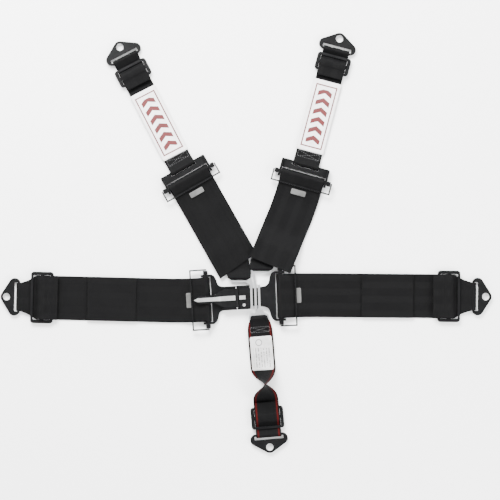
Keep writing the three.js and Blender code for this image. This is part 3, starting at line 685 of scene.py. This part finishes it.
def printed_material():
    """White sleeve with a plain red frame and a row of red chevrons, all generic."""
    m = Nodes("printed_sleeve", Roughness=0.5, Sheen_Weight=0.08, Specular_IOR_Level=0.4)
    across, along = uv_axes(m)
    weave = m.math("MULTIPLY", m.math("SINE", m.math("MULTIPLY", across, 7400.0)),
                   m.math("SINE", m.math("MULTIPLY", along, 7400.0)))
    soil = m.noise(60.0, 4.0)
    # The white is mottled by soil and, a little, by the weave: a small painted shade, threads lighter and gaps
    # darker.
    white = m.mix(m.ramp(m.math("ADD", soil, m.math("MULTIPLY", weave, 0.1)), 0.25, 0.75),
                  (0.6, 0.575, 0.575, 1), (0.76, 0.745, 0.74, 1))
    red = m.mix(soil, (0.05, 0.0001, 0.0006, 1), (0.085, 0.0002, 0.0012, 1))
    off_u, off_v = m.math("ABSOLUTE", across), m.math("ABSOLUTE", along)
    border = m.math("MAXIMUM", m.math("SUBTRACT", off_u, 0.0178), m.math("SUBTRACT", off_v, 0.0545))
    frame_line = m.math("LESS_THAN", m.math("ABSOLUTE", border), 0.0011)
    slant = m.math("ADD", m.math("ADD", along, 1.0), m.math("MULTIPLY", off_u, 0.55))
    bars = m.math("LESS_THAN", m.math("MODULO", slant, 0.0168), 0.0084)
    panel = m.math("MULTIPLY", m.math("LESS_THAN", off_u, 0.0122), m.math("LESS_THAN", off_v, 0.0475))
    ink = m.math("MAXIMUM", frame_line, m.math("MULTIPLY", bars, panel))
    m.link(m.mix(ink, white, red), "Base Color")
    m.link(m.ramp(soil, 0.3, 0.7, 0.42, 0.6), "Roughness")
    m.bump(m.math("ADD", weave, m.math("MULTIPLY", ink, 1.5)), 0.00007, 0.6)
    return m.material


PRINTED = printed_material()

for side, belt in SHOULDER.items():
    name = f"shoulder_{side}"
    place = placed(belt["x"] + SHIFT.x, belt["y"] + SHIFT.y, belt["heading"])
    lower = Belt(place, lower_points(belt))
    web = lower.mesh(f"{name}_lower_strap", 22)
    finish_piece(web, BLACK_WEB, f"{name}_lower", "black_webbing", f"{name}_lower_webbing")
    end = lower.length
    half = SHOULDER_WEB / 2 - SEAM_INSET
    rows = [(end - inset, -half, end - inset, half) for inset in (4, 9)]
    sewn = stitches(f"{name}_tail_stitches", lower, rows)
    finish_piece(sewn, BLACK_THREAD, f"{name}_lower", "black_webbing")
    plan = route(belt["upper_bend"], 40, 60)
    upper = Belt(place, upper_points(belt, plan))
    web = upper.mesh(f"{name}_upper_strap", 14)
    finish_piece(web, BLACK_WEB, f"{name}_upper", "black_webbing", f"{name}_upper_webbing")
    v0, v1 = upper.v_of(33.0, 1), upper.v_of(43.0, 1)
    sewn = stitches(f"{name}_loop_stitches", upper, box_stitch(v0, v1, 19.0, True), 1)
    finish_piece(sewn, BLACK_THREAD, f"{name}_upper", "black_webbing")
    at = plan(109)
    label_piece(f"{name}_printed_sleeve", flat_on(place, at, LABEL_Z), SLEEVE_SIZE, LABEL_RISE,
                f"{name}_upper", "white_label", PRINTED, f"{name}_sleeve", 0.8, 2.6)
    label_piece(f"{name}_label", flat_on(place, (-28.2, 0.0, 0.0), TAG_Z), TAG_SIZE, TAG_RISE,
                f"{name}_lower", "grey_tag", GREY_TAG, f"{name}_tag")

# ---- crotch belt ----
CROTCH = dict(x=21.0, y=-129.6, heading=-85.2, slide=173.5, edge=203.3,
              tail=60.0, twist_from=78.0, twist_to=150.0, web=44.0)


def crotch_points(plan):
    w = CROTCH["web"]
    points = [
        point(CROTCH["tail"], TAIL_Z, w, plan), point(30, TAIL_Z, w, plan),
        point(16, TAIL_Z + 0.3, 42.5, plan), point(8, TAIL_Z + 1.6, 38, plan),
        *turn(0, EDGE_Z, EDGE_WRAP, 72, 270, gathered(31), plan, 18),
        point(12, GROUND, 40, plan), point(30, GROUND, w, plan),
    ]
    for i in range(25):
        share = i / 24
        smooth = share * share * (3 - 2 * share)
        z = GROUND + (w / 2) * math.sin(math.pi * smooth)
        x = CROTCH["twist_from"] + share * (CROTCH["twist_to"] - CROTCH["twist_from"])
        points.append(point(x, z, w, plan, 0.0, 180 * smooth))
    return points + anchor_run(CROTCH["slide"], 19, CROTCH["edge"], w, w, plan, 180)


def over_twist(belt, middle_x):
    """Where the care label lies: over the loop's tail, then down on the strap and round with its twist."""
    middle_v = belt.v_of(middle_x, -1)

    def spot(u, v, h):
        past = min(max((middle_x + v - CROTCH["tail"] + 1) / 8, 0.0), 1.0)
        base = LAYER * (1 - past * past * (3 - 2 * past))
        return belt.world(belt.row(middle_v + v), u, base + THICK / 2 + 0.3 + h)

    return spot


def crotch_label_material():
    """White care label with plain dark bars and a blank ring, no lettering."""
    m = Nodes("crotch_label", Roughness=0.55, Sheen_Weight=0.08, Specular_IOR_Level=0.35)
    across, along = uv_axes(m)
    soil = m.noise(90.0, 4.0)
    weave = m.math("MULTIPLY", m.math("SINE", m.math("MULTIPLY", across, 8200.0)),
                   m.math("SINE", m.math("MULTIPLY", along, 8200.0)))
    white = m.mix(m.ramp(soil, 0.3, 0.7), (0.36, 0.355, 0.35, 1), (0.52, 0.515, 0.51, 1))
    dark = m.mix(soil, (0.012, 0.012, 0.013, 1), (0.05, 0.05, 0.052, 1))
    line = m.math("LESS_THAN", m.math("MODULO", m.math("ADD", across, 1.0), 0.0046), 0.0015)
    stretched = m.add("Mapping", {
        "Vector": m.add("UVMap", uv_map="web").outputs["UV"], "Scale": (210.0, 330.0, 1.0)}).outputs["Vector"]
    broken = m.math("GREATER_THAN", m.noise(1.0, 0.0, 0.5, stretched), 0.43)
    block_v = m.math("MULTIPLY", m.math("GREATER_THAN", along, -0.010), m.math("LESS_THAN", along, 0.025))
    block_u = m.math("LESS_THAN", m.math("ABSOLUTE", across), 0.0145)
    bars = m.math("MULTIPLY", m.math("MULTIPLY", line, broken), m.math("MULTIPLY", block_v, block_u))
    du, dv = m.math("ADD", across, 0.004), m.math("ADD", along, 0.0195)
    radius = m.math("SQRT", m.math("ADD", m.math("MULTIPLY", du, du), m.math("MULTIPLY", dv, dv)))
    ring = m.math("LESS_THAN", m.math("ABSOLUTE", m.math("SUBTRACT", radius, 0.0052)), 0.0008)
    m.link(m.mix(m.math("MULTIPLY", m.math("MAXIMUM", bars, ring), 0.75), white, dark), "Base Color")
    m.link(m.ramp(soil, 0.3, 0.7, 0.45, 0.62), "Roughness")
    m.bump(weave, 0.00006, 0.5)
    return m.material


plan = route()
place = placed(CROTCH["x"] + SHIFT.x, CROTCH["y"] + SHIFT.y, CROTCH["heading"])
crotch = Belt(place, crotch_points(plan), 2.0)
web = crotch.mesh("crotch_strap", 16)
finish_piece(web, STRIPED_WEB, "crotch_belt", "striped_webbing", "crotch_webbing")
v0, v1 = crotch.v_of(16.0, 0), crotch.v_of(26.0, 0)
sewn = stitches("crotch_stitches", crotch, box_stitch(v0, v1, 16.5, True), -1)
finish_piece(sewn, BLACK_THREAD, "crotch_belt", "striped_webbing")
label_piece("crotch_care_label", over_twist(crotch, 60.0), (60, 38), LABEL_RISE,
            "crotch_belt", "white_label", crotch_label_material(), "crotch_label", 1.5)

# ---- metal parts: the CAD solids, with their edges rounded; the edge faces get a lighter finish, a painted highlight, with rubbed scratches on the black metal ----
# The black edges are lighter than the faces: a painted highlight along each edge. Their denser scratches are
# wear.
RUBBED_EDGE_PAINTED_HIGHLIGHT = coated_metal("rubbed_edge_painted_highlight", (0.0015, 0.0015, 0.002, 1), (0.006, 0.006, 0.007, 1), (0.36, 0.52), 0.5)
# The chrome and steel edges get a brighter, glossier chrome: a painted highlight along each edge.
PAINTED_EDGE_HIGHLIGHT = bright_metal("painted_edge_highlight", (0.8, 0.8, 0.81, 1), (0.92, 0.92, 0.92, 1), (0.05, 0.14), False)
finishes = {
    "black_metal": (BLACK_METAL, RUBBED_EDGE_PAINTED_HIGHLIGHT),
    "chrome": (CHROME, PAINTED_EDGE_HIGHLIGHT),
    "polished_steel": (POLISHED, PAINTED_EDGE_HIGHLIGHT),
}
WIRE_BEVEL, PLATE_BEVEL = 0.0009, 0.00035
slots = {part["node"]: part["material_slot"] for part in frame["record"]["subparts"]}
for node, obj in frame["nodes"].items():
    if slots[node] not in finishes:
        continue
    obj.data.materials.clear()
    for material in finishes[slots[node]]:
        obj.data.materials.append(material)
    for face in obj.data.polygons:
        face.material_index = 0
    bevel = obj.modifiers.new("rounded", "BEVEL")
    is_wire = node.endswith("bail")
    bevel.width = WIRE_BEVEL if is_wire else PLATE_BEVEL
    bevel.segments = 3 if is_wire else 2
    bevel.limit_method = "ANGLE"
    bevel.angle_limit = math.radians(32)
    bevel.use_clamp_overlap = True
    bevel.material = 1

# ---- floor, light and camera ----
def floor_material():
    m = Nodes("pale_floor", Roughness=0.7, Specular_IOR_Level=0.2)
    grain = m.noise(40.0, 3.0)
    m.link(m.mix(grain, (0.9, 0.9, 0.9, 1), (0.92, 0.92, 0.92, 1)), "Base Color")
    return m.material


FLOOR_REACH, FLOOR_DROP = 14.0, 0.0001
corners = [(x * FLOOR_REACH, y * FLOOR_REACH, 0) for x, y in ((-1, -1), (1, -1), (1, 1), (-1, 1))]
floor = build("floor", corners, [(0, 1, 2, 3)])
floor.location.z = -FLOOR_DROP
floor.data.materials.append(floor_material())

world = bpy.data.worlds.new("studio")
world.use_nodes = True
background = world.node_tree.nodes["Background"]
studio = world.node_tree.nodes
direction = studio.new("ShaderNodeSeparateXYZ")
world.node_tree.links.new(studio.new("ShaderNodeTexCoord").outputs["Generated"], direction.inputs[0])
overhead = studio.new("ShaderNodeMapRange")
overhead.interpolation_type = "SMOOTHSTEP"
for key, value in {"From Min": 0.62, "From Max": 0.97, "To Min": 3.4, "To Max": 1.5}.items():
    overhead.inputs[key].default_value = value
world.node_tree.links.new(direction.outputs["Z"], overhead.inputs["Value"])
world.node_tree.links.new(overhead.outputs["Result"], background.inputs["Strength"])
background.inputs["Color"].default_value = (1.0, 1.0, 1.0, 1)
bpy.context.scene.world = world


def softbox(name, location, size, power):
    lamp = bpy.data.lights.new(name, "AREA")
    lamp.shape = "RECTANGLE"
    lamp.size, lamp.size_y = size
    lamp.energy = power
    obj = bpy.data.objects.new(name, lamp)
    obj.location = location
    obj.rotation_mode = "QUATERNION"
    obj.rotation_quaternion = (-Vector(location)).to_track_quat("-Z", "Y")
    bpy.context.scene.collection.objects.link(obj)


softbox("key", (-0.5, 1.5, 1.5), (1.4, 1.0), 230)
softbox("fill", (1.7, -0.9, 1.3), (1.6, 1.2), 70)

DISTANCE, VIEW_WIDTH, SENSOR = 2.6, 0.870, 36.0
AIM = Vector((5.4, -11.5))  # the picture's middle, in mm from the layout's own origin
camera = bpy.data.objects.new("camera", bpy.data.cameras.new("camera"))
camera.data.sensor_width = SENSOR
camera.data.lens = SENSOR * DISTANCE / VIEW_WIDTH
camera.location = ((AIM.x + SHIFT.x) * MM, (AIM.y + SHIFT.y) * MM, DISTANCE)
camera.data.clip_end = 50
bpy.context.scene.collection.objects.link(camera)
bpy.context.scene.camera = camera
